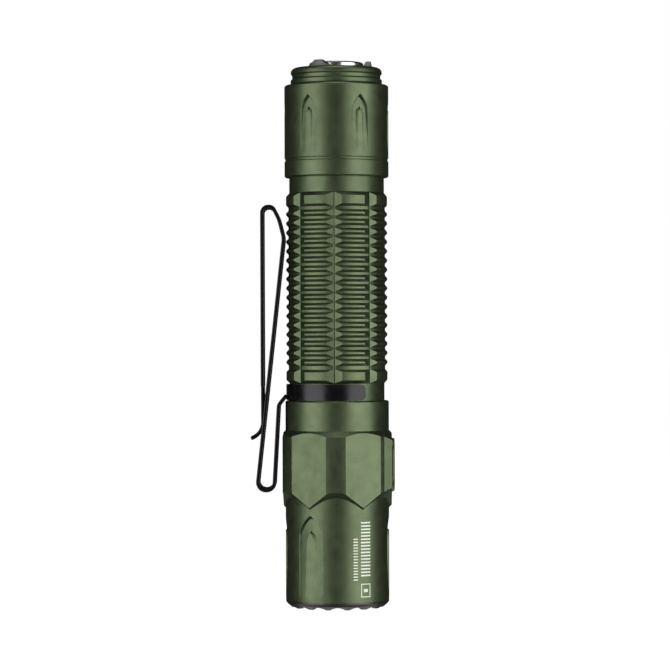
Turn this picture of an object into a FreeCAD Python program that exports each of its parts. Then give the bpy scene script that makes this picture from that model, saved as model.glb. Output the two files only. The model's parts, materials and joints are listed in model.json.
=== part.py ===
import FreeCAD, Part
import math
import os

import Sketcher
from FreeCAD import Placement, Rotation, Vector

# A duty-size tactical flashlight for one 21700 cell, in millimetres.
# Frame: origin on the torch axis at the plane of the bezel's teeth, +Z towards the tail switch.
# Azimuth is counted from -Y, positive towards +X. The side switch is at +90, the clip at -90.

SIZES = {
    # bezel
    "bezel_height": 1.94, "bezel_radius": 13.16, "bezel_nose_radius": 11.6,
    "bezel_mouth": 10.3, "bezel_skirt": 11.8, "bezel_skirt_top": 5.8,
    "tooth_count": 15, "tooth_depth": 0.65, "scallop_radius": 3.0,
    # head
    "head_radius": 13.2, "head_top": 52.61, "ring_top": 45.06, "optic_bore": 11.3,
    "shelf_low": 21.0, "shelf_high": 24.0, "wire_hole": 2.0,
    "cavity_radius": 10.5, "cavity_top": 46.4, "tube_socket": 12.0,
    "rib_radius": 14.68, "rib_half_angle": 9.9, "facet_turn": 28.5, "flat_distance": 13.69,
    "platform_distance": 13.87, "platform_half": 7.1, "platform_blend": 36.0,
    "wave_high": 28.3, "wave_drop": 3.0,
    # clip seat, body tube
    "tube_bore": 11.0, "tube_foot": 46.5, "tube_end": 119.8, "stub_radius": 11.95,
    "neck_radius": 12.09, "clip_seat_top": 57.02, "grip_radius": 12.97,
    "rib_pitch": 2.357, "first_rib": 62.37, "rib_count": 17, "valley_radius": 12.31,
    "rib_land": 0.43, "grip_top": 105.47, "cap_seat": 109.42, "thread_radius": 12.0,
    "groove_count": 8, "groove_floor": 12.26, "groove_turn": -3.1, "groove_slope": 0.29,
    "slot_half_width": 0.11, "slot_floor": 12.04,
    # tail cap
    "cap_radius": 13.27, "cap_bore": 12.15, "cap_shoulder": 121.0, "module_radius": 11.0,
    "module_top": 130.5, "cap_top": 132.9, "recess_floor": 134.4, "recess_radius": 9.65,
    "rim_top": 137.3, "end_radius": 11.65, "end_groove": 11.26, "seal_bore": 6.2,
    # tail switch
    "plate_low": 136.0, "plate_high": 137.0, "plate_radius": 9.35, "disc_radius": 6.9,
    "disc_top": 138.75, "lobe_top": 139.0, "stem_radius": 5.3, "stem_foot": 131.2,
    "stem_bore": 4.3, "contact_radius": 1.6, "insulator_radius": 2.6,
    # cell and springs
    "cell_radius": 10.55, "wrap_radius": 10.75, "cell_low": 47.6, "cell_high": 119.0,
    "spring_wire": 0.35, "spring_radius": 3.0, "head_spring_low": 41.85,
    "head_spring_high": 46.35, "tail_spring_low": 119.05, "tail_spring_high": 124.25,
    # clip
    "clip_sheet": 1.0, "clip_width": 9.0, "tongue_width": 3.6, "band_radius": 12.98,
    "band_bore": 12.15, "band_low": 52.75, "band_high": 56.85, "band_half_angle": 124.0,
    # side switch
    "button_middle": 36.18, "button_length": 13.65, "button_width": 8.6,
    "button_back": 12.6, "button_face": 14.62, "rim_gap": 0.12, "rim_wall": 0.4,
}

doc = FreeCAD.newDocument("tactical_flashlight")
sheet = doc.addObject("Spreadsheet::Sheet", "Sizes")
for row, (alias, number) in enumerate(SIZES.items(), start=1):
    sheet.set("A%d" % row, alias)
    sheet.set("B%d" % row, str(number))
    sheet.setAlias("B%d" % row, alias)
doc.recompute()


class Size:
    """A length that carries both its number and the sheet expression that gives it."""

    def __init__(self, number, text):
        self.number = number
        self.text = text

    def __add__(self, more):
        return Size(self.number + more, "(%s + %r)" % (self.text, more))

    def __sub__(self, less):
        return Size(self.number - less, "(%s - %r)" % (self.text, less))


def sized(alias):
    return Size(SIZES[alias], "Sizes.%s" % alias)


def fixed(number):
    return Size(number, "%r" % number)


def as_size(value):
    """An alias, a number or a Size, as a Size."""
    if isinstance(value, Size):
        return value
    if isinstance(value, str):
        return sized(value)
    return fixed(float(value))


def span(low, high):
    low = as_size(low)
    high = as_size(high)
    return Size(high.number - low.number, "%s - %s" % (high.text, low.text))


def spot(radius, azimuth, height=0.0):
    """A point at a radius and azimuth: 0 degrees is -Y, 90 degrees is +X."""
    angle = math.radians(azimuth)
    return Vector(radius * math.sin(angle), -radius * math.cos(angle), height)


parts = {}


def keep(name, thing):
    """Names a finished sub-part, which is then checked and written."""
    thing.Label = name
    parts[name] = thing
    return thing


def origin_plane(body, role):
    return [f for f in body.Origin.OriginFeatures if f.Role == role][0]


def new_sketch(body, name, role):
    sketch = body.newObject("Sketcher::SketchObject", name)
    sketch.AttachmentSupport = (origin_plane(body, role), [""])
    sketch.MapMode = "FlatFace"
    return sketch


def bind(sketch, constraint, size):
    index = sketch.addConstraint(constraint)
    sketch.setExpression("Constraints[%d]" % index, size.text)


def add_circle(sketch, radius):
    radius = as_size(radius)
    circle = sketch.addGeometry(Part.Circle(Vector(), Vector(0, 0, 1), radius.number))
    sketch.addConstraint(Sketcher.Constraint("Coincident", circle, 3, -1, 1))
    bind(sketch, Sketcher.Constraint("Radius", circle, radius.number), radius)


def ring(name, outer, inner, low, high):
    """A flat ring, or a disc when inner is None, padded from a sketch of one or two circles."""
    body = doc.addObject("PartDesign::Body", name)
    sketch = new_sketch(body, name + "_circles", "XY_Plane")
    add_circle(sketch, outer)
    if inner is not None:
        add_circle(sketch, inner)
    pad = body.newObject("PartDesign::Pad", name + "_pad")
    pad.Profile = sketch
    pad.setExpression("Length", span(low, high).text)
    low = as_size(low)
    body.Placement = Placement(Vector(0, 0, low.number), Rotation())
    body.setExpression("Placement.Base.z", low.text)
    return body


def turned(name, outline):
    """A solid of revolution about Z from a closed outline of (radius, height) points."""
    body = doc.addObject("PartDesign::Body", name)
    sketch = new_sketch(body, name + "_outline", "XZ_Plane")
    corners = [(as_size(radius), as_size(height)) for radius, height in outline]
    count = len(corners)
    for index in range(count):
        start = corners[index]
        end = corners[(index + 1) % count]
        sketch.addGeometry(Part.LineSegment(
            Vector(start[0].number, start[1].number, 0),
            Vector(end[0].number, end[1].number, 0)))
    for index in range(count):
        sketch.addConstraint(
            Sketcher.Constraint("Coincident", index, 2, (index + 1) % count, 1))
    for index, (radius, height) in enumerate(corners):
        bind(sketch, Sketcher.Constraint("DistanceX", -1, 1, index, 1, radius.number), radius)
        bind(sketch, Sketcher.Constraint("DistanceY", -1, 1, index, 1, height.number), height)
    revolution = body.newObject("PartDesign::Revolution", name + "_turn")
    revolution.Profile = sketch
    revolution.ReferenceAxis = (sketch, ["V_Axis"])
    revolution.Angle = 360
    return body


def shaped(name, shape):
    """A helper solid whose shape Part's own functions give."""
    thing = doc.addObject("Part::Feature", name)
    thing.Shape = shape
    return thing


def joined(kind, name, base, tool):
    """A Part boolean of two document objects: Cut, Fuse or Common."""
    boolean = doc.addObject("Part::" + kind, name)
    boolean.Base = base
    boolean.Tool = tool
    return boolean


def bound_box(name, length, width, height, place):
    box = doc.addObject("Part::Box", name)
    box.setExpression("Length", as_size(length).text)
    box.setExpression("Width", as_size(width).text)
    box.setExpression("Height", as_size(height).text)
    box.Placement = Placement(place, Rotation())
    return box


def polygon_face(points):
    return Part.Face(Part.makePolygon(list(points) + [points[0]]))


def arch_cutter(radius, azimuth, spec):
    """A pointed-arch recess with a raised island; its walls lean, and its crest is at 45 degrees.

    The floor is a cone about the torch axis: deepest at the apex, it comes out by
    spec["lean"] per millimetre below, so the legs fade into the surface.
    """
    deepest = radius - spec["depth"]
    clear = radius + 0.4
    foot = spec["low"]
    floor_apex = spec["apex"] - spec["depth"]

    def arch(half, half_low, spring, apex, front):
        """Closed outline of one arch on the plane y = -front."""
        def at(side, height):
            return Vector(side, -front, height)

        rise = apex - spring
        flank = half * spec["bulge"]
        right = Part.Arc(at(half, spring), at(flank, spring + rise * 0.55), at(0, apex))
        left = Part.Arc(at(0, apex), at(-flank, spring + rise * 0.55), at(-half, spring))
        sides = [Part.makeLine(at(half_low, foot), at(half, spring)), right.toShape(),
                 left.toShape(), Part.makeLine(at(-half, spring), at(-half_low, foot)),
                 Part.makeLine(at(-half_low, foot), at(half_low, foot))]
        return Part.Face(Part.Wire(sides))

    def leaning(face, travel, leans):
        """The face pushed along Y, once for each (side, up) lean, and all joined."""
        prisms = [face.extrude(Vector(side, travel, up)) for side, up in leans]
        return prisms[0].multiFuse(prisms[1:])

    half = spec["half"]
    leg_front = math.sqrt(deepest ** 2 - half ** 2)
    outward = clear - leg_front
    legs = arch(half, half, spec["spring"], floor_apex, leg_front)
    crest = arch(half, half, spec["spring"], floor_apex, deepest)
    slope = clear - deepest
    spread = spec["flare"] * outward
    recess = leaning(legs, -outward, ((0, 0), (spread, 0), (-spread, 0)))
    recess = recess.fuse(crest.extrude(Vector(0, -slope, slope)))
    inward = slope + 1.0
    top = arch(spec["island"], spec["island_low"], spec["island_spring"], spec["island_apex"],
               clear)
    spread = spec["flare"] * inward
    island = leaning(top, inward, ((0, 0), (spread, 0), (-spread, 0), (0, spread)))
    lowest = deepest + spec["lean"] * (floor_apex - foot)
    floor = Part.makeCone(lowest, deepest, floor_apex - foot, Vector(0, 0, foot))
    floor = floor.fuse(Part.makeCylinder(deepest, 3.0, Vector(0, 0, floor_apex)))
    cutter = recess.cut(island).cut(floor)
    cutter.rotate(Vector(), Vector(0, 0, 1), azimuth)
    return cutter


def make_bezel():
    """Wave-toothed ring: a nose that tapers in, and a skirt that screws into the head."""
    body = turned("bezel_ring", [
        ("bezel_mouth", 0.0), ("bezel_nose_radius", 0.0), (sized("bezel_radius") - 0.45, 0.9),
        ("bezel_radius", 1.5), ("bezel_radius", "bezel_height"),
        ("bezel_skirt", "bezel_height"), ("bezel_skirt", "bezel_skirt_top"),
        (10.95, "bezel_skirt_top"), (10.95, 2.4), ("bezel_mouth", 1.9)])
    sketch = new_sketch(body, "scallop", "XZ_Plane")
    radius = sized("scallop_radius")
    drop = Size(radius.number - SIZES["tooth_depth"], "Sizes.scallop_radius - Sizes.tooth_depth")
    circle = sketch.addGeometry(Part.Circle(Vector(0, -drop.number, 0), Vector(0, 0, 1),
                                            radius.number))
    sketch.addConstraint(Sketcher.Constraint("PointOnObject", circle, 3, -2))
    bind(sketch, Sketcher.Constraint("Radius", circle, radius.number), radius)
    bind(sketch, Sketcher.Constraint("DistanceY", circle, 3, -1, 1, drop.number), drop)
    pocket = body.newObject("PartDesign::Pocket", "scallop_cut")
    pocket.Profile = sketch
    pocket.Length = 20
    pocket.Reversed = True
    pattern = body.newObject("PartDesign::PolarPattern", "scallops")
    pattern.Originals = [pocket]
    pattern.Axis = (origin_plane(body, "Z_Axis"), [""])
    pattern.Angle = 360
    pattern.Occurrences = SIZES["tooth_count"]
    body.Tip = pattern
    return keep("bezel_ring", body)


def make_optics():
    """Gasket, moulded lens, spacer, LED and its board, in a stack behind the bezel."""
    keep("lens_gasket", ring("lens_gasket", 10.9, 10.2, 2.5, 3.2))
    keep("tir_lens", turned("tir_lens", [
        (0.0, 3.3), (10.9, 3.3), (10.9, 5.0), (10.4, 5.4), (9.2, 9.4), (7.0, 14.2),
        (4.2, 18.0), (3.1, 18.6), (2.9, 16.2), (0.0, 15.4)]))
    keep("led_spacer", turned("led_spacer", [
        (3.7, 18.9), (5.4, 17.6), (7.4, 15.0), (11.2, 15.0), (11.2, 19.5), (3.7, 19.5)]))
    emitter = joined("Fuse", "led_package",
                     bound_box("led_base", 5.0, 5.0, 0.6, Vector(-2.5, -2.5, 18.95)),
                     bound_box("led_phosphor", 3.4, 3.4, 0.35, Vector(-1.7, -1.7, 18.65)))
    keep("led_emitter", emitter)
    keep("led_board", ring("led_board", 11.2, 1.2, 19.55, "shelf_low"))
    keep("proximity_sensor", bound_box("proximity_sensor", 1.2, 1.6, 0.5,
                                       Vector(8.6, -0.8, 14.4)))


def facet_outline():
    """Six raised ribs with six flats between, and the switch platform over the one at +X."""
    rib = SIZES["rib_radius"]
    half = SIZES["rib_half_angle"]
    flat_edge = SIZES["flat_distance"] / math.cos(math.radians(30.0 - half))
    edges = []
    for index in range(6):
        centre = SIZES["facet_turn"] + 30.0 + 60.0 * index
        start = centre - half
        end = centre + half
        before_platform = index == 0
        after_platform = index == 1
        if before_platform:
            end = 90.0 - SIZES["platform_blend"]
        if after_platform:
            start = 90.0 + SIZES["platform_blend"]
        edges.append(Part.Arc(spot(rib, start), spot(rib, (start + end) / 2), spot(rib, end)))
        if before_platform:
            x = SIZES["platform_distance"]
            y = SIZES["platform_half"]
            corners = [spot(rib, end), Vector(x, -y, 0), Vector(x, y, 0),
                       spot(rib, 90.0 + SIZES["platform_blend"])]
        else:
            corners = [spot(rib, end), spot(flat_edge, end),
                       spot(flat_edge, centre + 60.0 - half), spot(rib, centre + 60.0 - half)]
        edges += [Part.LineSegment(a, b) for a, b in zip(corners, corners[1:])]
    return Part.Wire([edge.toShape() for edge in edges])


def wavy_envelope():
    """The space above the wavy 45 degree chamfer and under the 45 degree top cone."""
    def wave(height):
        edges = []
        for index in range(6):
            rib_centre = SIZES["facet_turn"] + 30.0 + 60.0 * index
            points = []
            for swing in range(-30, 31, 5):
                fall = SIZES["wave_drop"] * (1.0 - math.cos(math.radians(3.0 * swing)))
                radius = SIZES["head_radius"] + height - SIZES["wave_high"] + fall
                points.append(spot(radius, rib_centre + swing, height))
            curve = Part.BSplineCurve()
            curve.interpolate(Points=points)
            edges.append(curve.toShape())
        return Part.Wire(edges)

    split = 32.0
    reach = 18.0
    top = SIZES["ring_top"]
    chamfer = Part.makeLoft([wave(22.0), wave(split)], True, True)
    drum = Part.makeCylinder(reach, top - (reach - SIZES["head_radius"]) - split,
                             Vector(0, 0, split))
    cone = Part.makeCone(reach, SIZES["head_radius"], reach - SIZES["head_radius"],
                         Vector(0, 0, top - (reach - SIZES["head_radius"])))
    lower = chamfer.common(Part.makeCylinder(reach, 20.0, Vector(0, 0, 20.0)))
    return lower.fuse(drum.fuse(cone))


def slot_prism(length, width, low, high):
    """A round-ended slot, long in Z, extruded along X from low to high at the side switch."""
    middle = SIZES["button_middle"]
    half = length / 2.0 - width / 2.0
    arm = width / 2.0
    top = Part.Arc(Vector(low, -arm, middle + half), Vector(low, 0, middle + half + arm),
                   Vector(low, arm, middle + half))
    foot = Part.Arc(Vector(low, arm, middle - half), Vector(low, 0, middle - half - arm),
                    Vector(low, -arm, middle - half))
    sides = [Part.LineSegment(Vector(low, arm, middle + half), Vector(low, arm, middle - half)),
             Part.LineSegment(Vector(low, -arm, middle - half), Vector(low, -arm, middle + half))]
    wire = Part.Wire([top.toShape(), sides[0].toShape(), foot.toShape(), sides[1].toShape()])
    return Part.Face(wire).extrude(Vector(high - low, 0, 0))


HEAD_ARCH = {"apex": 23.9, "spring": 19.05, "half": 3.0, "island_apex": 19.37,
             "island_spring": 16.8, "island": 0.82, "island_low": 1.2, "flare": 0.7,
             "bulge": 0.62, "depth": 0.85, "lean": 0.042, "low": 3.0}
TAIL_ARCH = {"apex": 130.1, "spring": 126.2, "half": 1.72, "island_apex": 126.12,
             "island_spring": 124.4, "island": 0.25, "island_low": 0.55, "flare": 0.7,
             "bulge": 0.6, "depth": 0.9, "lean": 0.0647, "low": 115.3}


def make_head():
    """Head shell: bored core, faceted ring, milled arches and the side switch pocket."""
    core = turned("head_core", [
        (sized("head_radius") - 0.05, "bezel_height"), ("head_radius", 3.0),
        ("head_radius", sized("head_top") - 0.3), (sized("head_radius") - 0.3, "head_top"),
        ("tube_socket", "head_top"), ("tube_socket", 50.4), (12.7, 50.4), (12.7, 49.0),
        ("tube_socket", 49.0), ("tube_socket", "cavity_top"), ("cavity_radius", "cavity_top"),
        ("cavity_radius", "shelf_high"), ("wire_hole", "shelf_high"),
        ("wire_hole", "shelf_low"), ("optic_bore", "shelf_low"), ("optic_bore", 6.0),
        (sized("bezel_skirt") + 0.05, 6.0), (sized("bezel_skirt") + 0.05, "bezel_height")])
    outline = facet_outline()
    prism = Part.Face(outline).extrude(Vector(0, 0, 26.0))
    prism.translate(Vector(0, 0, 21.0))
    facets = joined("Common", "facets", shaped("facet_prism", prism),
                    shaped("facet_envelope", wavy_envelope()))
    bore = doc.addObject("Part::Cylinder", "facet_bore")
    bore.setExpression("Radius", "Sizes.head_radius - 0.6")
    bore.Height = 60
    facet_ring = joined("Cut", "facet_ring", facets, bore)
    blank = joined("Fuse", "head_blank", core, facet_ring)
    turns = [SIZES["facet_turn"] + 60.0 * index for index in range(1, 6)]
    cutters = [arch_cutter(SIZES["head_radius"], turn, HEAD_ARCH) for turn in turns]
    milled = joined("Cut", "head_milled", blank,
                    shaped("head_arches", Part.makeCompound(cutters)))
    margin = 2.0 * (SIZES["rim_gap"] + SIZES["rim_wall"])
    window = slot_prism(SIZES["button_length"] + margin, SIZES["button_width"] + margin, 8.0, 20.0)
    keep("head_shell", joined("Cut", "head_shell", milled, shaped("switch_window", window)))


def make_electronics():
    """Driver board with its parts, its ring, and the contact spring behind the cell."""
    keep("driver_board", ring("driver_board", 10.3, None, 39.8, 41.0))
    inductor = Part.makeBox(6.0, 6.0, 3.0, Vector(-8.5, -3.0, 36.8))
    inductor = inductor.makeFillet(0.5, inductor.Edges)
    chips = [Part.makeBox(4.0, 4.0, 1.0, Vector(-1.0, -2.0, 38.8)),
             Part.makeBox(2.0, 1.2, 1.2, Vector(-1.0, 3.4, 38.6)),
             Part.makeBox(2.0, 1.2, 1.2, Vector(-1.0, -5.0, 38.6)),
             Part.makeBox(1.6, 3.2, 1.4, Vector(4.2, -1.6, 38.4))]
    keep("driver_components", shaped("driver_components", Part.makeCompound([inductor] + chips)))
    keep("driver_retaining_ring", ring("driver_retaining_ring", 10.4, 8.6, 41.05, 43.0))
    keep("head_contact_plate", ring("head_contact_plate", 4.0, None, 41.05, 41.8))
    keep("head_contact_spring", coil("head_contact_spring", "head_spring_low",
                                     "head_spring_high", 4))


def coil(name, low, high, turns):
    """A round-wire compression spring about Z, closed at both ends by its own wire."""
    wire = SIZES["spring_wire"]
    radius = SIZES["spring_radius"]
    foot = SIZES[low] + wire
    rise = SIZES[high] - SIZES[low] - 2.0 * wire
    helix = Part.makeHelix(rise / turns, rise, radius)
    section = Part.Wire(Part.makeCircle(wire, Vector(radius, 0, 0), Vector(0, 1, 0)))
    spring = Part.Wire(helix).makePipeShell([section], True, True)
    spring.translate(Vector(0, 0, foot))
    return shaped(name, spring)


def make_side_switch():
    """Long oval button on the platform, with its rim, membrane, tact switch and board."""
    length = SIZES["button_length"]
    width = SIZES["button_width"]
    gap = SIZES["rim_gap"]
    wall = SIZES["rim_wall"]
    platform = SIZES["platform_distance"]
    rim = slot_prism(length + 2 * (gap + wall), width + 2 * (gap + wall), 13.0, platform + 0.05)
    rim = rim.cut(slot_prism(length + 2 * gap, width + 2 * gap, 12.5, platform + 1.0))
    keep("side_switch_rim", shaped("side_switch_rim", rim))
    face = SIZES["button_face"]
    button = slot_prism(length, width, SIZES["button_back"], face)
    edges = [e for e in button.Edges if abs(e.BoundBox.XMin - face) < 0.01]
    button = button.makeFillet(0.45, edges)
    light = slot_prism(7.2, 1.9, face - 0.5, face + 0.06)
    keep("side_switch_button", shaped("side_switch_button", button.cut(light)))
    keep("side_switch_light", shaped("side_switch_light", light))
    keep("side_switch_seal", shaped("side_switch_seal",
                                    slot_prism(length + 0.6, width + 0.6, 11.5, 12.0)))
    body = bound_box("side_tact_body", 1.2, 4.6, 4.6,
                     Vector(9.65, -2.3, SIZES["button_middle"] - 2.3))
    stem = Part.makeCylinder(1.1, 0.6, Vector(10.85, 0, SIZES["button_middle"]), Vector(1, 0, 0))
    keep("side_tact_switch", joined("Fuse", "side_tact_switch", body,
                                    shaped("side_tact_stem", stem)))
    keep("side_switch_board", bound_box("side_switch_board", 1.0, 8.0, 10.4,
                                        Vector(8.6, -4.0, 28.6)))


def grip_outline():
    """Outside of the grip: lower collar, the ring-shaped ribs, and the upper collar."""
    collar = sized("grip_radius")
    neck = sized("neck_radius")
    valley = sized("valley_radius")
    slope = SIZES["grip_radius"] - SIZES["valley_radius"]
    low_collar_end = 59.9
    high_collar_start = 102.4
    outline = [(neck, "clip_seat_top"), (collar, 57.9), (collar, low_collar_end),
               (valley, low_collar_end + slope)]
    for index in range(int(SIZES["rib_count"])):
        peak = SIZES["first_rib"] + index * SIZES["rib_pitch"]
        land = SIZES["rib_land"] / 2.0
        outline += [(valley, peak - land - slope), (collar, peak - land),
                    (collar, peak + land), (valley, peak + land + slope)]
    outline += [(valley, high_collar_start - slope), (collar, high_collar_start),
                (collar, 104.5), (neck, "grip_top")]
    return outline


def make_tube():
    """Battery tube: head stub, clip seat, ribbed grip with slotted V grooves, thread."""
    outline = [("tube_bore", "tube_foot"), ("stub_radius", "tube_foot"),
               ("stub_radius", "head_top"), ("neck_radius", "head_top")]
    outline += grip_outline()
    outline += [("neck_radius", "cap_seat"), (11.45, "cap_seat"), (11.45, 111.0),
                ("thread_radius", 111.0)]
    crest = sized("thread_radius")
    for index in range(6):
        root = 112.0 + index * 1.2
        outline += [(crest, root), (11.6, root + 0.3), (11.6, root + 0.5), (crest, root + 0.8)]
    outline += [(crest, sized("tube_end") - 0.3), (crest - 0.3, "tube_end"),
                ("tube_bore", "tube_end")]
    body = turned("body_tube", outline)
    sketch = new_sketch(body, "groove_section", "XY_Plane")
    sketch.AttachmentOffset = Placement(Vector(0, 0, SIZES["grip_top"]), Rotation())
    floor = SIZES["groove_floor"]
    slot = SIZES["slot_half_width"]
    reach = 1.5
    turn = Rotation(Vector(0, 0, 1), SIZES["groove_turn"])
    flare = slot + reach / SIZES["groove_slope"]
    corners = [turn.multVec(Vector(side, -radius, 0)) for side, radius in (
        (-slot, SIZES["slot_floor"]), (slot, SIZES["slot_floor"]), (slot, floor),
        (flare, floor + reach), (-flare, floor + reach), (-slot, floor))]
    count = len(corners)
    for index in range(count):
        sketch.addGeometry(Part.LineSegment(corners[index], corners[(index + 1) % count]))
    for index in range(count):
        sketch.addConstraint(Sketcher.Constraint("Coincident", index, 2, (index + 1) % count, 1))
    pocket = body.newObject("PartDesign::Pocket", "groove_cut")
    pocket.Profile = sketch
    pocket.setExpression("Length", "Sizes.grip_top - Sizes.clip_seat_top")
    pattern = body.newObject("PartDesign::PolarPattern", "grooves")
    pattern.Originals = [pocket]
    pattern.Axis = (origin_plane(body, "Z_Axis"), [""])
    pattern.Angle = 360
    pattern.Occurrences = SIZES["groove_count"]
    body.Tip = pattern
    keep("body_tube", body)
    keep("head_oring", ring("head_oring", 12.66, 11.98, 49.05, 50.35))
    keep("tail_oring", ring("tail_oring", 12.1, 11.5, 109.5, 110.9))


def make_cell():
    """The 21700 cell: steel can, shrink wrap, insulating washer and raised terminal."""
    keep("battery_can", ring("battery_can", "cell_radius", None, "cell_low", "cell_high"))
    keep("battery_wrap", ring("battery_wrap", "wrap_radius", "cell_radius",
                              sized("cell_low") - 0.1, sized("cell_high") - 0.2))
    keep("battery_insulator", ring("battery_insulator", 10.3, 4.2, 47.3, "cell_low"))
    keep("battery_terminal", ring("battery_terminal", 4.0, None, 46.4, "cell_low"))


def make_tail_cap():
    """Tail cap: threaded skirt, milled arches, a grooved end and the switch recess."""
    shell = turned("tail_blank", [
        ("cap_bore", sized("cap_seat") + 0.02), (sized("cap_radius") - 0.3, sized("cap_seat") + 0.02),
        ("cap_radius", 109.75), ("cap_radius", 113.41), (sized("cap_radius") - 0.2, 113.6),
        (sized("cap_radius") - 0.2, 114.12), ("cap_radius", 114.31),
        ("cap_radius", sized("cap_top") - 0.35), (sized("cap_radius") - 0.35, "cap_top"),
        (sized("end_groove") + 0.1, "cap_top"), (sized("end_radius") - 0.1, 133.1),
        ("end_radius", 133.3), ("end_radius", 134.2), ("end_groove", 134.6),
        ("end_groove", 135.4), (sized("end_radius") - 0.1, 135.75), ("end_radius", 136.05),
        (sized("end_radius") - 0.1, sized("rim_top") - 0.7),
        (sized("end_radius") - 0.45, sized("rim_top") - 0.25),
        (sized("end_radius") - 0.9, "rim_top"), (sized("recess_radius") + 0.2, "rim_top"),
        ("recess_radius", sized("rim_top") - 0.2), ("recess_radius", "recess_floor"),
        ("seal_bore", "recess_floor"), ("seal_bore", "module_top"),
        ("module_radius", "module_top"), ("module_radius", "cap_shoulder"),
        ("cap_bore", "cap_shoulder")])
    turns = [27.0 + 60.0 * index for index in range(6)]
    cutters = [arch_cutter(SIZES["cap_radius"], turn, TAIL_ARCH) for turn in turns]
    keep("tailcap_shell", joined("Cut", "tailcap_shell", shell,
                                 shaped("tail_arches", Part.makeCompound(cutters))))
    keep("tail_contact_ring", ring("tail_contact_ring", 12.05, 11.1, 120.1, 120.95))
    keep("tail_retaining_ring", ring("tail_retaining_ring", 10.9, 8.5, 122.4, 124.2))
    keep("tail_board", ring("tail_board", 10.8, None, 124.3, 125.5))
    body = bound_box("tail_tact_body", 6.0, 6.0, 3.4, Vector(-3.0, -3.0, 125.55))
    plunger = Part.makeCylinder(1.75, 0.85, Vector(0, 0, 128.95))
    keep("tail_tact_switch", joined("Fuse", "tail_tact_switch", body,
                                    shaped("tail_tact_plunger", plunger)))
    keep("tail_spring", coil("tail_spring", "tail_spring_low", "tail_spring_high", 4.5))
    keep("switch_seal", ring("switch_seal", "seal_bore", sized("stem_radius") + 0.08,
                             131.4, 133.8))


def lobe(azimuth):
    """One raised lobe of the tail switch: flat-topped, with all four sides sloping in."""
    sunk = 0.3
    low = SIZES["plate_high"] - sunk
    top = SIZES["lobe_top"]
    front = SIZES["disc_radius"] + 0.2
    lean = 0.5
    half_foot = 3.4
    half_top = 0.95
    corners = [(-half_foot, low), (half_foot, low), (half_foot, low + sunk),
               (half_top, top), (-half_top, top), (-half_foot, low + sunk)]
    profile = polygon_face([Vector(side, 2.0 - front, height) for side, height in corners])
    block = profile.extrude(Vector(0, -6.0, 0))
    outside = Part.makeCone(SIZES["plate_radius"], SIZES["plate_radius"] - lean, top - low,
                            Vector(0, 0, low))
    inside = Part.makeCone(front, front + lean, top - low, Vector(0, 0, low))
    block = block.common(outside).cut(inside)
    block.rotate(Vector(), Vector(0, 0, 1), azimuth)
    return block


def make_tail_switch():
    """Bright metal switch cap with three lobes, the charging contact and its magnet."""
    plate = turned("switch_plate", [
        ("insulator_radius", "disc_top"), ("insulator_radius", sized("plate_low") + 0.2),
        ("stem_bore", sized("plate_low") + 0.2), ("stem_bore", "stem_foot"),
        ("stem_radius", "stem_foot"), ("stem_radius", "plate_low"),
        ("plate_radius", "plate_low"), ("plate_radius", "plate_high"),
        ("disc_radius", "plate_high"), ("disc_radius", sized("disc_top") - 0.45),
        (sized("disc_radius") - 0.13, sized("disc_top") - 0.13),
        (sized("disc_radius") - 0.45, "disc_top")])
    lobes = [lobe(azimuth) for azimuth in (-32.0, 88.0, 208.0)]
    keep("switch_cap", joined("Fuse", "switch_cap", plate,
                              shaped("switch_lobes", Part.makeCompound(lobes))))
    keep("contact_insulator", ring("contact_insulator", "insulator_radius", "contact_radius",
                                   sized("plate_low") + 0.2, sized("disc_top") - 0.05))
    keep("charge_contact", ring("charge_contact", "contact_radius", None, 133.5, "disc_top"))
    keep("tail_magnet", ring("tail_magnet", sized("stem_bore") - 0.05,
                             sized("contact_radius") + 0.1, 133.4, 136.1))
    keep("switch_plunger", ring("switch_plunger", sized("stem_bore") - 0.02, None,
                                "stem_foot", 133.3))
    keep("switch_return_spring", ring("switch_return_spring", 8.6, 6.9,
                                      sized("recess_floor") + 0.05, sized("plate_low") - 0.05))


def swept_strip(edges, width):
    """Spring steel sheet bent along a path in the XZ plane, width in Y."""
    path = Part.Wire(Part.__sortEdges__(edges))
    first = path.OrderedEdges[0]
    start = first.valueAt(first.FirstParameter)
    along = first.tangentAt(first.FirstParameter)
    across = Vector(0, 1, 0)
    normal = along.cross(across)
    sheet_half = SIZES["clip_sheet"] / 2.0
    corners = [start + normal * (sheet_half * a) + across * (width / 2.0 * b)
               for a, b in ((-1, -1), (1, -1), (1, 1), (-1, 1))]
    section = Part.makePolygon(corners + [corners[0]])
    return path.makePipeShell([section], True, True)


def path_point(x, z):
    return Vector(x, 0, z)


def bend(start, middle, end):
    return Part.Arc(path_point(*start), path_point(*middle), path_point(*end)).toShape()


def run(start, end):
    return Part.makeLine(path_point(*start), path_point(*end))


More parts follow.
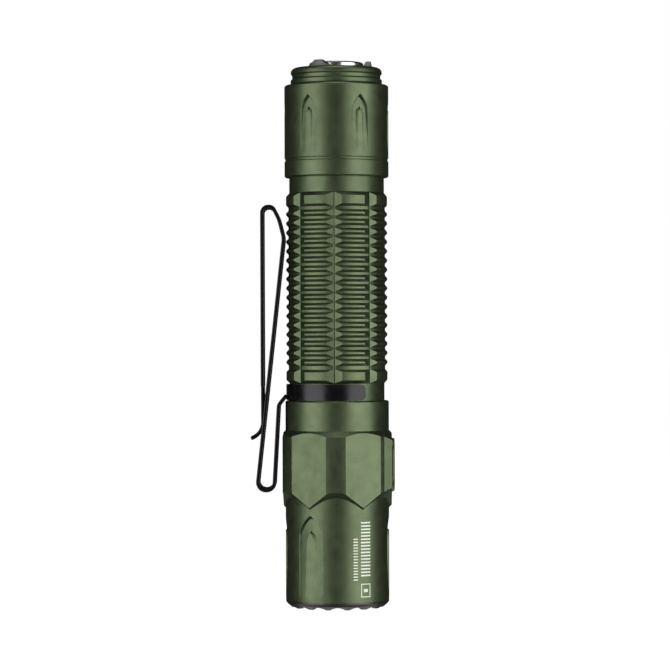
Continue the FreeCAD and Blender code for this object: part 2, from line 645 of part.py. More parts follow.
def make_clip():
    """One spring-steel clip: a band round the neck, a leg down, a U bend and a two-way arm."""
    half = SIZES["band_half_angle"]
    low = SIZES["band_low"]
    faces = []
    for radius in (SIZES["band_radius"], SIZES["band_bore"]):
        faces.append(Part.Arc(spot(radius, -90.0 - half, low), spot(radius, -90.0, low),
                              spot(radius, -90.0 + half, low)).toShape())
    for side in (-half, half):
        faces.append(Part.makeLine(spot(SIZES["band_bore"], -90.0 + side, low),
                                   spot(SIZES["band_radius"], -90.0 + side, low)))
    band = Part.Face(Part.Wire(Part.__sortEdges__(faces)))
    band = band.extrude(Vector(0, 0, SIZES["band_high"] - low))
    corners = [e for e in band.Edges if abs(e.Length - 0.83) < 0.02]
    band = band.makeFillet(1.2, corners)
    width = SIZES["clip_width"]
    leg = swept_strip([run((-12.95, 53.9), (-14.3, 52.1)),
                       bend((-14.3, 52.1), (-14.8, 51.2), (-14.95, 50.2)),
                       run((-14.95, 50.2), (-15.96, 32.0)),
                       bend((-15.96, 32.0), (-16.56, 30.47), (-17.72, 29.87))], width)
    keep("clip_base", shaped("clip_base", band.fuse(leg).removeSplitter()))
    arm = swept_strip([bend((-18.15, 29.86), (-19.6, 30.55), (-20.18, 32.2)),
                       run((-20.18, 32.2), (-13.98, 90.9)),
                       bend((-13.98, 90.9), (-13.73, 93.4), (-14.2, 95.7)),
                       run((-14.2, 95.7), (-16.0, 100.05)),
                       bend((-16.0, 100.05), (-17.62, 102.18), (-19.1, 100.3)),
                       run((-19.1, 100.3), (-18.9, 55.5))], width)
    window = Part.makeBox(6.0, SIZES["tongue_width"] + 1.0, 12.5,
                          Vector(-21.0, -SIZES["tongue_width"] / 2.0 - 0.5, 42.6))
    arm = arm.cut(window)
    tongue = swept_strip([run((-18.9, 56.0), (-18.88, 47.2)),
                          bend((-18.88, 47.2), (-19.45, 44.8), (-21.1, 43.35)),
                          run((-21.1, 43.35), (-22.0, 42.95))], SIZES["tongue_width"])
    keep("clip_arm", shaped("clip_arm", arm.fuse(tongue).removeSplitter()))


def check_and_write():
    """Stops on any failed object, then writes each sub-part."""
    doc.recompute()
    failed = [thing.Name for thing in doc.Objects
              if "Invalid" in thing.State or "Error" in thing.State]
    failed += [name for name, thing in parts.items()
               if thing.Shape.isNull() or not thing.Shape.isValid()]
    if failed:
        raise RuntimeError("failed: %s" % ", ".join(failed))
    os.makedirs("parts", exist_ok=True)
    for name, thing in parts.items():
        thing.Shape.exportStep("parts/%s.step" % name)
        print("%-24s %9.2f mm3 %d solid(s)" % (name, thing.Shape.Volume,
                                               len(thing.Shape.Solids)))


make_bezel()
make_optics()
make_head()
make_electronics()
make_side_switch()
make_tube()
make_cell()
make_tail_cap()
make_tail_switch()
make_clip()
check_and_write()
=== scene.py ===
import json
import math

import bmesh
import bpy
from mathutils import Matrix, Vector


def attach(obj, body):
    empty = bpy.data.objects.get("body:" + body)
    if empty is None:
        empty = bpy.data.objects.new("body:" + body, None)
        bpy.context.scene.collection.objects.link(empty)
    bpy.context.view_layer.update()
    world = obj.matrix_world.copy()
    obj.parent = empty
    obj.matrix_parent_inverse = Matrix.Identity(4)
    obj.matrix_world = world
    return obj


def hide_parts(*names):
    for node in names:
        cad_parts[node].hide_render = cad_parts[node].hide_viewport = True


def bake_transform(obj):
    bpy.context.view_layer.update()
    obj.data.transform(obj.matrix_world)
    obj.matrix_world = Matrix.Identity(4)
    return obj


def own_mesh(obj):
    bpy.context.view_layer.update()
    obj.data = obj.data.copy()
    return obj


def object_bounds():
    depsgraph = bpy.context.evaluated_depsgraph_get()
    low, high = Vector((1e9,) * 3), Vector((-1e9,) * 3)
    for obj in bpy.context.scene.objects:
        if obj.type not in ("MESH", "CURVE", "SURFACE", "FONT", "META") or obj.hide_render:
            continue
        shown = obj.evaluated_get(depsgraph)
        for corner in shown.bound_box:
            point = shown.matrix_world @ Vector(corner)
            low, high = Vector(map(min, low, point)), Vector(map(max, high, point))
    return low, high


# The looks of a tactical flashlight that stands on its bezel, tail switch up.
# Lengths are in metres, except that the pieces are laid out in millimetres and scaled by MM.
# An azimuth is in degrees from -Y, the camera's side, and is positive towards +X.

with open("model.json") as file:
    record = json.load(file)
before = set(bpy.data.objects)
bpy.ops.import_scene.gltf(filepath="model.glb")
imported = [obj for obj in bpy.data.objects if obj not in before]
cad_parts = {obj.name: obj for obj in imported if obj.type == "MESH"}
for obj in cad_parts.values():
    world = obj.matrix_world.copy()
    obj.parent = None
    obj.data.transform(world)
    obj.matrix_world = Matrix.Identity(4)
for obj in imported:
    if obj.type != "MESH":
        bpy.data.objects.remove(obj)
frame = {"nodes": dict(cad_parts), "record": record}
cad_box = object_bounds()

MM = 0.001


# ---------------------------------------------------------------- shader nodes

def new_material(name, colour, roughness, metallic=0.0):
    """A Principled material: returns it with its node tree and its shader.

    The colour and roughness hold until a finish feeds those sockets from its textures.
    """
    material = bpy.data.materials.new(name)
    material.use_nodes = True
    tree = material.node_tree
    shader = tree.nodes["Principled BSDF"]
    shader.inputs["Base Color"].default_value = (*colour, 1.0)
    shader.inputs["Roughness"].default_value = roughness
    shader.inputs["Metallic"].default_value = metallic
    return material, tree, shader


def connect(tree, shader, colour, roughness):
    """Feeds the shader its colour and its roughness."""
    tree.links.new(colour, shader.inputs["Base Color"])
    tree.links.new(roughness, shader.inputs["Roughness"])


def object_noise(tree, scale, detail=3.0, stretch=(1.0, 1.0, 1.0)):
    """Noise in object space, so it stays on the surface; scale is in features per metre."""
    coordinates = tree.nodes.new("ShaderNodeTexCoord")
    mapping = tree.nodes.new("ShaderNodeMapping")
    mapping.inputs["Scale"].default_value = stretch
    noise = tree.nodes.new("ShaderNodeTexNoise")
    noise.inputs["Scale"].default_value = scale
    noise.inputs["Detail"].default_value = detail
    tree.links.new(coordinates.outputs["Object"], mapping.inputs["Vector"])
    tree.links.new(mapping.outputs["Vector"], noise.inputs["Vector"])
    return noise.outputs["Fac"]


def remap(tree, value, low, high, from_low=0.3, from_high=0.7):
    """Stretches from_low..from_high to low..high; by default that is most of a noise's range."""
    node = tree.nodes.new("ShaderNodeMapRange")
    node.inputs["From Min"].default_value = from_low
    node.inputs["From Max"].default_value = from_high
    node.inputs["To Min"].default_value = low
    node.inputs["To Max"].default_value = high
    tree.links.new(value, node.inputs["Value"])
    return node.outputs["Result"]


# The Mix node has a set of sockets for each kind of value; these are the colours'.
MIX_FIRST = 6
MIX_SECOND = 7
MIX_RESULT = 2


def mix_colour(tree, factor, first, second):
    """Mixes two colours; either may be a plain colour or a socket."""
    node = tree.nodes.new("ShaderNodeMix")
    node.data_type = "RGBA"
    tree.links.new(factor, node.inputs["Factor"])
    for socket, colour in ((node.inputs[MIX_FIRST], first), (node.inputs[MIX_SECOND], second)):
        if isinstance(colour, tuple):
            socket.default_value = (*colour, 1.0)
        else:
            tree.links.new(colour, socket)
    return node.outputs[MIX_RESULT]


def toned(colour, factor):
    """The same colour, made darker or lighter."""
    return tuple(channel * factor for channel in colour)


def drifting_tone(tree, colour, darkest, lightest, scale, detail=4.0):
    """The colour, drifting by noise between a darker and a lighter tone."""
    drift = remap(tree, object_noise(tree, scale, detail), 0.0, 1.0)
    return mix_colour(tree, drift, toned(colour, darkest), toned(colour, lightest))


def rounded_normal(tree, radius):
    """The surface's normal as if its edges were rounded by this radius in metres."""
    bevel = tree.nodes.new("ShaderNodeBevel")
    bevel.inputs["Radius"].default_value = radius
    bevel.samples = 4
    return bevel.outputs["Normal"]


def add_bump(tree, shader, height, distance, strength, soften=0.0):
    """Surface relief from a height value, over edges rounded by soften metres."""
    bump = tree.nodes.new("ShaderNodeBump")
    bump.inputs["Distance"].default_value = distance
    bump.inputs["Strength"].default_value = strength
    tree.links.new(height, bump.inputs["Height"])
    if soften:
        tree.links.new(rounded_normal(tree, soften), bump.inputs["Normal"])
    tree.links.new(bump.outputs["Normal"], shader.inputs["Normal"])


def edge_mask(tree, reach):
    """1 along edges and 0 on flats, broken up by noise: where edges are painted lighter, partly
    as wear and partly as a painted edge highlight.
    """
    geometry = tree.nodes.new("ShaderNodeNewGeometry")
    agreement = tree.nodes.new("ShaderNodeVectorMath")
    agreement.operation = "DOT_PRODUCT"
    tree.links.new(geometry.outputs["Normal"], agreement.inputs[0])
    tree.links.new(rounded_normal(tree, reach), agreement.inputs[1])
    sharp = remap(tree, agreement.outputs["Value"], 1.0, 0.0, from_low=0.86, from_high=0.985)
    patches = remap(tree, object_noise(tree, scale=900.0, detail=5.0), 0.15, 1.0,
                    from_low=0.42, from_high=0.62)
    product = tree.nodes.new("ShaderNodeMath")
    product.operation = "MULTIPLY"
    tree.links.new(sharp, product.inputs[0])
    tree.links.new(patches, product.inputs[1])
    return product.outputs["Value"]


def radius_from_axis(tree):
    """Distance in metres from the torch's axis, for finishes that change with it."""
    coordinates = tree.nodes.new("ShaderNodeTexCoord")
    flat = tree.nodes.new("ShaderNodeVectorMath")
    flat.operation = "MULTIPLY"
    flat.inputs[1].default_value = (1.0, 1.0, 0.0)
    length = tree.nodes.new("ShaderNodeVectorMath")
    length.operation = "LENGTH"
    tree.links.new(coordinates.outputs["Object"], flat.inputs[0])
    tree.links.new(flat.outputs["Vector"], length.inputs[0])
    return length.outputs["Value"]


# ---------------------------------------------------------------- finishes

def coloured_metal(name, colour, roughness, metallic, worn_and_highlit_edge, grain=5200.0, relief=0.25):
    """Bead-blasted and dyed metal: tone drift, fine speckle, grain relief, and lighter edges that
    are partly wear and partly a painted edge highlight.
    """
    material, tree, shader = new_material(name, colour, roughness, metallic)
    base = drifting_tone(tree, colour, darkest=0.86, lightest=1.12, scale=160.0)
    speckle = remap(tree, object_noise(tree, grain, detail=2.0), 0.0, 0.28,
                    from_low=0.45, from_high=0.75)
    base = mix_colour(tree, speckle, base, toned(colour, 1.7))
    # Edges painted lighter: partly wear, partly a painted edge highlight.
    base = mix_colour(tree, edge_mask(tree, reach=0.00022), base, worn_and_highlit_edge)
    smudges = object_noise(tree, scale=420.0, detail=4.0)
    connect(tree, shader, base, remap(tree, smudges, roughness - 0.035, roughness + 0.05))
    add_bump(tree, shader, object_noise(tree, grain), distance=0.000012, strength=relief,
             soften=0.00009)
    return material


def turned_metal(name, colour, roughness):
    """Bare machined metal with faint rings from the lathe."""
    material, tree, shader = new_material(name, colour, roughness, metallic=1.0)
    rings = object_noise(tree, scale=2600.0, detail=2.0, stretch=(0.03, 0.03, 1.0))
    connect(tree, shader,
            drifting_tone(tree, colour, darkest=0.88, lightest=1.06, scale=300.0),
            remap(tree, rings, roughness - 0.06, roughness + 0.08))
    add_bump(tree, shader, rings, distance=0.00001, strength=0.2, soften=0.00012)
    return material


def polished_disc_and_shaded_lobes(name, polished, shaded_lobe_colour, edge):
    """Switch metal: a bright polished disc inside the edge radius; outside it, rougher blasted
    lobes whose dark grey colour is painted shade.
    """
    blasting = 4200.0
    edge_blur = 0.0001
    polished_roughness = 0.24
    blasted_roughness = 0.46
    material, tree, shader = new_material(name, polished, 0.3, metallic=1.0)
    outside = remap(tree, radius_from_axis(tree), 0.0, 1.0,
                    from_low=edge - edge_blur, from_high=edge + edge_blur)
    # The lobes' dark grey, drifting with the blasting grain, is painted shade.
    shaded_grey = drifting_tone(tree, shaded_lobe_colour, darkest=0.8, lightest=1.2, scale=blasting, detail=3.0)
    connect(tree, shader, mix_colour(tree, outside, polished, shaded_grey),
            remap(tree, outside, polished_roughness, blasted_roughness,
                  from_low=0.0, from_high=1.0))
    add_bump(tree, shader, object_noise(tree, blasting), distance=0.00001, strength=0.25,
             soften=0.00012)
    return material


def moulded(name, colour, roughness, grain=2600.0, relief=0.3):
    """Rubber or plastic with a fine moulded texture."""
    material, tree, shader = new_material(name, colour, roughness)
    smudges = object_noise(tree, scale=700.0)
    connect(tree, shader,
            drifting_tone(tree, colour, darkest=0.85, lightest=1.15, scale=220.0),
            remap(tree, smudges, roughness - 0.05, roughness + 0.07))
    add_bump(tree, shader, object_noise(tree, grain), distance=0.00002, strength=relief,
             soften=0.00008)
    return material


def clear_optic(name, colour, darker, lighter):
    """Polished clear lens plastic with a trace of moulding flow."""
    material, tree, shader = new_material(name, colour, 0.02)
    shader.inputs["Transmission Weight"].default_value = 1.0
    shader.inputs["IOR"].default_value = 1.49
    connect(tree, shader, mix_colour(tree, object_noise(tree, scale=60.0), darker, lighter),
            remap(tree, object_noise(tree, scale=90.0), 0.01, 0.05))
    add_bump(tree, shader, object_noise(tree, scale=120.0), distance=0.00001, strength=0.05)
    return material


def circuit_board(name, mask_colour):
    """Solder mask with a net of lighter, slightly sunk tracks."""
    material, tree, shader = new_material(name, mask_colour, 0.35)
    tracks = tree.nodes.new("ShaderNodeTexVoronoi")
    tracks.feature = "DISTANCE_TO_EDGE"
    tracks.distance = "MANHATTAN"
    tracks.inputs["Scale"].default_value = 480.0
    coordinates = tree.nodes.new("ShaderNodeTexCoord")
    tree.links.new(coordinates.outputs["Object"], tracks.inputs["Vector"])
    off_track = remap(tree, tracks.outputs["Distance"], 0.0, 1.0, from_low=0.04, from_high=0.09)
    connect(tree, shader, mix_colour(tree, off_track, toned(mask_colour, 1.45), mask_colour),
            remap(tree, object_noise(tree, scale=500.0), 0.3, 0.42))
    add_bump(tree, shader, tracks.outputs["Distance"], distance=0.00002, strength=0.3)
    return material


# Each _EDGE colour is painted on its finish's edges: partly wear, partly a painted edge
# highlight.
OLIVE = (0.062, 0.081, 0.043)
OLIVE_BUTTON = (0.05, 0.068, 0.034)
OLIVE_EDGE = (0.12, 0.145, 0.095)
BLACK_BEZEL = (0.034, 0.032, 0.031)
BLACK_BEZEL_EDGE = (0.09, 0.09, 0.09)
BLACK_CLIP = (0.0075, 0.007, 0.0068)
BLACK_CLIP_EDGE = (0.06, 0.06, 0.06)
# The lobes' dark grey is painted shade; the polished disc keeps nickel's own colour.
POLISHED_NICKEL = (0.72, 0.72, 0.72)
NICKEL_PAINTED_SHADE = (0.13, 0.13, 0.13)
POLISHED_DISC_RADIUS = 0.0070


def make_finishes():
    """One finish per material slot of the record."""
    recipes = {
        "olive_anodised": (coloured_metal, dict(colour=OLIVE, roughness=0.41, metallic=0.9,
                                                worn_and_highlit_edge=OLIVE_EDGE)),
        "olive_button": (coloured_metal, dict(colour=OLIVE_BUTTON, roughness=0.34,
                                              metallic=0.66, worn_and_highlit_edge=OLIVE_EDGE)),
        "black_anodised": (coloured_metal, dict(colour=BLACK_BEZEL, roughness=0.33,
                                                metallic=0.75, worn_and_highlit_edge=BLACK_BEZEL_EDGE)),
        "black_spring_steel": (coloured_metal, dict(colour=BLACK_CLIP, roughness=0.25,
                                                    metallic=0.6, worn_and_highlit_edge=BLACK_CLIP_EDGE,
                                                    grain=3400.0, relief=0.2)),
        "satin_nickel": (polished_disc_and_shaded_lobes, dict(polished=POLISHED_NICKEL,
                                                    shaded_lobe_colour=NICKEL_PAINTED_SHADE,
                                                    edge=POLISHED_DISC_RADIUS)),
        "satin_nickel_contact": (turned_metal, dict(colour=(0.72, 0.70, 0.64), roughness=0.2)),
        "cell_can": (turned_metal, dict(colour=(0.6, 0.6, 0.61), roughness=0.3)),
        "bare_steel": (turned_metal, dict(colour=(0.58, 0.58, 0.6), roughness=0.32)),
        "brass": (turned_metal, dict(colour=(0.78, 0.56, 0.24), roughness=0.28)),
        "gold_spring": (turned_metal, dict(colour=(0.86, 0.64, 0.27), roughness=0.22)),
        "black_rubber": (moulded, dict(colour=(0.012, 0.012, 0.013), roughness=0.62)),
        "black_plastic": (moulded, dict(colour=(0.018, 0.018, 0.018), roughness=0.5)),
        "black_wrap": (moulded, dict(colour=(0.014, 0.014, 0.018), roughness=0.26,
                                     grain=900.0, relief=0.15)),
        "white_plastic": (moulded, dict(colour=(0.8, 0.8, 0.78), roughness=0.45)),
        "light_guide": (moulded, dict(colour=(0.42, 0.5, 0.42), roughness=0.22,
                                      grain=1500.0, relief=0.1)),
        "led_phosphor": (moulded, dict(colour=(0.85, 0.68, 0.1), roughness=0.5,
                                       grain=6000.0, relief=0.3)),
        "dark_glass": (moulded, dict(colour=(0.01, 0.01, 0.016), roughness=0.08,
                                     grain=600.0, relief=0.05)),
        "clear_lens": (clear_optic, dict(colour=(0.94, 0.97, 0.98), darker=(0.93, 0.96, 0.97),
                                         lighter=(0.96, 0.98, 0.99))),
        "green_board": (circuit_board, dict(mask_colour=(0.02, 0.12, 0.05))),
        "white_board": (circuit_board, dict(mask_colour=(0.8, 0.8, 0.77))),
    }
    return {slot: maker(slot, **settings) for slot, (maker, settings) in recipes.items()}


finishes = make_finishes()
etched_white = moulded("laser_etch", colour=(0.62, 0.66, 0.57), roughness=0.7, grain=5000.0,
                       relief=0.4)


def finish_cad_nodes():
    """Every CAD node takes the finish of its material slot."""
    for entry in frame["record"]["subparts"]:
        node = frame["nodes"][entry["node"]]
        node.data.materials.clear()
        node.data.materials.append(finishes[entry["material_slot"]])


# ---------------------------------------------------------------- meshes

def mesh_piece(name, mesh_maker, finish):
    """A new object from a bmesh, smooth-shaded, in the scene."""
    mesh = bpy.data.meshes.new(name)
    work = bmesh.new()
    mesh_maker(work)
    bmesh.ops.recalc_face_normals(work, faces=work.faces)
    work.to_mesh(mesh)
    work.free()
    mesh.shade_smooth()
    piece = bpy.data.objects.new(name, mesh)
    bpy.context.scene.collection.objects.link(piece)
    mesh.materials.append(finish)
    return piece


def thicken(piece, thickness, edge):
    """Gives a sheet its thickness, centred on the surface, and rounds its edges."""
    solid = piece.modifiers.new("thickness", "SOLIDIFY")
    solid.thickness = thickness
    solid.offset = 0.0
    solid.use_even_offset = True
    bevel = piece.modifiers.new("rounded_edges", "BEVEL")
    bevel.width = edge
    bevel.segments = 3
    bevel.limit_method = "ANGLE"
    bevel.angle_limit = math.radians(40.0)
    bevel.harden_normals = True


def on_cylinder(radius, azimuth, height):
    """A point on an upright cylinder round the torch's axis."""
    angle = math.radians(azimuth)
    return Vector((radius * math.sin(angle), -radius * math.cos(angle), height))


def join_rows(work, rows, closed=False, gaps=frozenset()):
    """Lays a quad between each two neighbours in each two rows, but not at (row, column) gaps."""
    for row, (first, second) in enumerate(zip(rows, rows[1:])):
        for column in range(len(first) if closed else len(first) - 1):
            after = (column + 1) % len(first)
            if (row, column) not in gaps:
                work.faces.new((first[column], first[after], second[after], second[column]))


def rounded_path(corners, steps=10):
    """A path through corner points (x, z, bend radius), each bend a true arc."""
    path = [Vector(corners[0][:2])]
    for before, here, after in zip(corners, corners[1:], corners[2:]):
        point = Vector(here[:2])
        radius = here[2]
        come = (point - Vector(before[:2])).normalized()
        leave = (Vector(after[:2]) - point).normalized()
        turn = come.angle_signed(leave)
        start = point - come * (radius * math.tan(abs(turn) / 2.0))
        side = -1.0 if turn > 0 else 1.0
        centre = start + Vector((-come.y, come.x)) * side * radius
        arm = start - centre
        for step in range(steps + 1):
            swing = -turn * step / steps
            path.append(centre + Vector((arm.x * math.cos(swing) - arm.y * math.sin(swing),
                                         arm.x * math.sin(swing) + arm.y * math.cos(swing))))
    path.append(Vector(corners[-1][:2]))
    return path


def refine(path, longest):
    """Splits long runs, so that neighbouring points are nowhere further apart than longest."""
    stations = [path[0]]
    for point in path[1:]:
        last = stations[-1]
        pieces = max(1, math.ceil((point - last).length / longest))
        stations += [last.lerp(point, index / pieces) for index in range(1, pieces + 1)]
    return stations


# ---------------------------------------------------------------- clip, mm

# The arm's centre line as (x, z, bend radius). At a tight return the straights meet there.
CLIP_CORNERS = (
    (-12.95, 53.9, 0.0),     # start on the band
    (-14.85, 51.55, 2.0),    # out from the neck, then down along the head
    (-16.06, 29.85, 2.05),   # U bend, inner side
    (-20.4, 29.85, 2.05),    # U bend, outer side, then up again
    (-13.45, 94.0, 5.5),     # nearest to the tube
    (-14.7, 98.9, 10.0),     # leaning out again
    (-16.3, 101.95, 1.5),    # top loop, inner side
    (-18.95, 101.95, 1.55),  # top loop, outer side, then down outside the other legs
    (-18.9, 44.35, 4.4),     # the tongue turns outwards
    (-22.0, 42.95, 0.0),     # tip
)
CLIP_STATION = 0.75
CLIP_WIDTH = 9.0
# The window is cut in the leg between the U bend and the top loop, which lies beyond this x.
WINDOW_BEYOND_X = -16.6
WINDOW_WIDTH = 4.6
WINDOW_LOW = 43.0
WINDOW_HIGH = 55.5
# Past the top loop, the last leg narrows to a tongue below this height.
TONGUE_WIDTH = 3.6
TONGUE_HIGH = 56.0
NEAR, MIDDLE, FAR = range(3)


def build_clip_arm(work):
    """The bent sheet as a grid three columns wide, some left out at the window and tongue."""
    stations = refine(rounded_path(CLIP_CORNERS), CLIP_STATION)
    top = max(range(len(stations)), key=lambda index: stations[index].y)
    half = CLIP_WIDTH / 2.0
    rows = []
    for index, station in enumerate(stations):
        inner = (TONGUE_WIDTH if index > top else WINDOW_WIDTH) / 2.0
        rows.append([work.verts.new((station.x * MM, side * MM, station.y * MM))
                     for side in (-half, -inner, inner, half)])
    gaps = set()
    for index, (here, after) in enumerate(zip(stations, stations[1:])):
        height = (here.y + after.y) / 2.0
        if index < top and here.x < WINDOW_BEYOND_X and WINDOW_LOW < height < WINDOW_HIGH:
            gaps.add((index, MIDDLE))
        if index > top and height < TONGUE_HIGH:
            gaps.update(((index, NEAR), (index, FAR)))
    join_rows(work, rows, gaps=gaps)


BAND_LOW = 52.78
BAND_HIGH = 56.82
BAND_RADIUS = 12.565
BAND_MIDDLE_AZIMUTH = -90.0
BAND_HALF_ANGLE = 124.0
BAND_CORNER = 1.3
# The band's inner rows of points run this much inside the corners' ends.
BAND_ROW_INSET = 0.05


def build_clip_band(work):
    """The band round the neck, with rounded ends, open towards the side switch."""
    corner_steps = 6
    side_steps = 60
    inset = BAND_CORNER + BAND_ROW_INSET
    corner_angle = math.degrees(BAND_CORNER / BAND_RADIUS)
    straight = BAND_HALF_ANGLE - corner_angle
    side = [straight * step / side_steps for step in range(1, side_steps + 1)]
    side += [straight + corner_angle * math.sin(math.radians(90.0 * step / corner_steps))
             for step in range(1, corner_steps + 1)]
    angles = sorted(way * angle for angle in side for way in (-1.0, 1.0))
    rows = []
    for angle in angles:
        past = max(0.0, (abs(angle) - straight) / corner_angle)
        cut = BAND_CORNER * (1.0 - math.sqrt(max(0.0, 1.0 - past * past)))
        heights = (BAND_LOW + cut, BAND_LOW + inset, BAND_HIGH - inset, BAND_HIGH - cut)
        rows.append([work.verts.new(on_cylinder(BAND_RADIUS * MM, BAND_MIDDLE_AZIMUTH + angle,
                                                height * MM)) for height in heights])
    join_rows(work, rows)


def make_clip():
    """One-piece clip: the band and the arm meet at the neck; the arm's sheet runs through a U
    bend.
    """
    band = mesh_piece("pocket_clip_band", build_clip_band, finishes["black_spring_steel"])
    thicken(band, thickness=0.8 * MM, edge=0.12 * MM)
    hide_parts("clip_base")
    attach(band, "clip")
    arm = mesh_piece("pocket_clip_arm", build_clip_arm, finishes["black_spring_steel"])
    thicken(arm, thickness=1.0 * MM, edge=0.3 * MM)
    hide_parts("clip_arm")
    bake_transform(arm)


# ---------------------------------------------------------------- springs, mm

def build_wave_spring(work):
    """A wave spring: four flat turns, each touching the next at its crests."""
    low = 134.52
    inner_radius = 7.0
    outer_radius = 8.5
    turns = 4
    pitch = 0.28
    waves_per_turn = 3.5
    swing = 0.1
    steps = 96
    rows = []
    for step in range(turns * steps + 1):
        angle = 360.0 * step / steps
        wave = swing * math.sin(math.radians(waves_per_turn * angle))
        height = low + swing + pitch * step / steps + wave
        rows.append([work.verts.new(on_cylinder(radius * MM, angle, height * MM))
                     for radius in (inner_radius, outer_radius)])
    join_rows(work, rows)


def build_contact_spring(work):
    """A round-wire coil from the positive contact to the cell, with closed ends."""
    low = 42.02
    high = 46.18
    turns = 5
    steps = 40
    closed_share = 0.1
    coil_radius = 3.0
    wire_radius = 0.16
    sides = 8
    last = turns * steps
    rows = []
    for step in range(last + 1):
        angle = 360.0 * step / steps
        climb = (step / last - closed_share) / (1.0 - 2.0 * closed_share)
        height = low + (high - low) * min(1.0, max(0.0, climb))
        row = []
        for side in range(sides):
            tilt = math.radians(360.0 * side / sides)
            radius = coil_radius + wire_radius * math.cos(tilt)
            level = height + wire_radius * math.sin(tilt)
            row.append(work.verts.new(on_cylinder(radius * MM, angle, level * MM)))
        rows.append(row)
    join_rows(work, rows, closed=True)
    work.faces.new(rows[0])
    work.faces.new(list(reversed(rows[-1])))


def make_springs():
    """The springs that in the real torch change length as the tail switch and the cell move; here
    each is built at one length.
    """
    wave = mesh_piece("wave_return_spring", build_wave_spring, finishes["bare_steel"])
    thicken(wave, thickness=0.08 * MM, edge=0.015 * MM)
    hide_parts("switch_return_spring")
    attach(wave, "tail_cap")
    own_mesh(wave)
    contact = mesh_piece("coiled_contact_spring", build_contact_spring, finishes["gold_spring"])
    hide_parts("head_contact_spring")
    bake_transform(contact)


# ---------------------------------------------------------------- etched marks, mm

MARK_RADIUS = 13.215
# Two columns of bars: azimuth, bar width, number of bars, lowest foot, spacing, bar height.
BAR_COLUMNS = ((32.5, 2.8, 17, 8.6, 0.83, 0.36),
               (20.2, 1.2, 15, 7.6, 0.73, 0.27))
# An open square round a small block: its middle, its reach to either side, and its lines.
SQUARE_AZIMUTH = 32.5
SQUARE_REACH = 5.4
SQUARE_WIDTH = 2.7
SQUARE_LOW = 3.3
SQUARE_HIGH = 6.72
SQUARE_LINE = 0.22
BLOCK_WIDTH = 1.2
BLOCK_LOW = 4.6
BLOCK_HIGH = 5.4


def add_mark(work, azimuth, width, low, high):
    """One etched dash: a patch laid just outside the head's cylinder."""
    strips = 3
    half = math.degrees(width / 2.0 / MARK_RADIUS)
    columns = [azimuth - half + half * 2.0 * step / strips for step in range(strips + 1)]
    join_rows(work, [[work.verts.new(on_cylinder(MARK_RADIUS * MM, column, height * MM))
                      for column in columns] for height in (low, high)])


def build_marks(work):
    """Two columns of plain bars and an open square: a stand-in with no letters or digits."""
    for azimuth, width, count, foot, spacing, tall in BAR_COLUMNS:
        for step in range(count):
            low = foot + step * spacing
            add_mark(work, azimuth, width, low, low + tall)
    for low in (SQUARE_LOW, SQUARE_HIGH - SQUARE_LINE):
        add_mark(work, SQUARE_AZIMUTH, SQUARE_WIDTH, low, low + SQUARE_LINE)
    for way in (-1.0, 1.0):
        add_mark(work, SQUARE_AZIMUTH + way * SQUARE_REACH, SQUARE_LINE, SQUARE_LOW,
                 SQUARE_HIGH)
    add_mark(work, SQUARE_AZIMUTH, BLOCK_WIDTH, BLOCK_LOW, BLOCK_HIGH)


def make_marks():
    """The pale etched marks on the head."""
    marks = mesh_piece("etched_marks", build_marks, etched_white)
    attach(marks, "root")


# ---------------------------------------------------------------- stage

FLOOR_RADIUS = 6.0
FLOOR_DROP = 0.00002
FLOOR_GREY = (0.16, 0.16, 0.16)
SURROUND_GREY = (0.02, 0.02, 0.02)
WHITE = (1.0, 1.0, 1.0)
TORCH_MIDDLE = 0.07


def make_stage():
    """A floor that the camera sees as white, and that neither lights nor shades the torch."""
    mesh = bpy.data.meshes.new("floor")
    work = bmesh.new()
    bmesh.ops.create_circle(work, cap_ends=True, segments=96, radius=FLOOR_RADIUS)
    work.to_mesh(mesh)
    work.free()
    floor = bpy.data.objects.new("floor", mesh)
    floor.location = (0.0, 0.0, cad_box[0][2] - FLOOR_DROP)
    bpy.context.scene.collection.objects.link(floor)
    material, tree, shader = new_material("floor", FLOOR_GREY, roughness=0.9)
    shader.inputs["Specular IOR Level"].default_value = 0.0
    shader.inputs["Emission Color"].default_value = (*WHITE, 1.0)
    path = tree.nodes.new("ShaderNodeLightPath")
    tree.links.new(path.outputs["Is Camera Ray"], shader.inputs["Emission Strength"])
    mesh.materials.append(material)
    floor.visible_diffuse = False
    floor.visible_glossy = False
    floor.visible_shadow = False


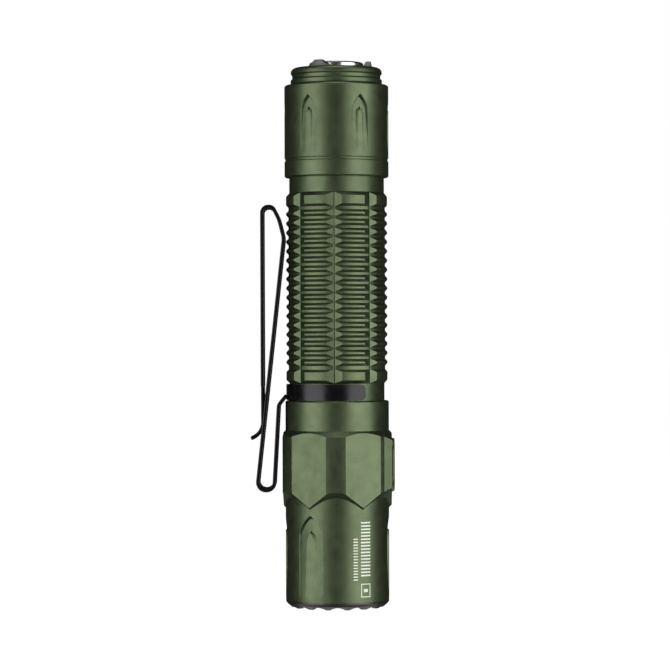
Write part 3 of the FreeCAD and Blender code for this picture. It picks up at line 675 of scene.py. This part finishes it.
def add_softbox(name, azimuth, distance, height, width, tall, power):
    """A soft panel that faces the middle of the torch; the power is in watts."""
    light = bpy.data.lights.new(name, "AREA")
    light.shape = "RECTANGLE"
    light.size = width
    light.size_y = tall
    light.energy = power
    lamp = bpy.data.objects.new(name, light)
    lamp.location = on_cylinder(distance, azimuth, height)
    aim = Vector((0.0, 0.0, TORCH_MIDDLE)) - lamp.location
    lamp.rotation_euler = aim.to_track_quat("-Z", "Y").to_euler()
    bpy.context.scene.collection.objects.link(lamp)


def make_lights():
    """Tall panels left and right of the camera, weak ones below, and one above."""
    add_softbox("left_panel", azimuth=-54.0, distance=0.75, height=TORCH_MIDDLE,
                width=0.68, tall=0.75, power=6.2)
    add_softbox("right_panel", azimuth=52.5, distance=0.75, height=TORCH_MIDDLE,
                width=0.76, tall=0.75, power=7.6)
    add_softbox("low_panel", azimuth=0.0, distance=0.40, height=-0.30,
                width=0.5, tall=0.2, power=0.6)
    for name, azimuth in (("under_left_panel", -140.0), ("under_right_panel", 140.0)):
        add_softbox(name, azimuth, distance=0.17, height=-0.32, width=0.3, tall=0.28, power=0.36)
    add_softbox("top_panel", azimuth=0.0, distance=0.05, height=1.0,
                width=0.6, tall=0.6, power=3.0)


def make_surround():
    """Dim all round the torch, and white where the camera looks past it."""
    world = bpy.data.worlds.new("studio")
    world.use_nodes = True
    tree = world.node_tree
    background = tree.nodes["Background"]
    background.inputs["Strength"].default_value = 1.0
    path = tree.nodes.new("ShaderNodeLightPath")
    colour = mix_colour(tree, path.outputs["Is Camera Ray"], SURROUND_GREY, WHITE)
    tree.links.new(colour, background.inputs["Color"])
    bpy.context.scene.world = world


CAMERA_PLACE = (-0.0005, -0.765, 0.0693)
CAMERA_LENS_MM = 161.0
CAMERA_SENSOR_MM = 36.0
CAMERA_ROLL = 0.16


def make_camera():
    """A long lens, level with the middle of the torch, with a very slight roll.

    The view transform shows colours as they are lit, without a film curve.
    """
    camera = bpy.data.cameras.new("camera")
    camera.lens = CAMERA_LENS_MM
    camera.sensor_width = CAMERA_SENSOR_MM
    camera.clip_start = 0.01
    holder = bpy.data.objects.new("camera", camera)
    holder.location = CAMERA_PLACE
    holder.rotation_euler = (math.radians(90.0), math.radians(CAMERA_ROLL), 0.0)
    bpy.context.scene.collection.objects.link(holder)
    bpy.context.scene.camera = holder
    bpy.context.scene.view_settings.view_transform = "Standard"


finish_cad_nodes()
make_clip()
make_springs()
make_marks()
make_stage()
make_lights()
make_surround()
make_camera()
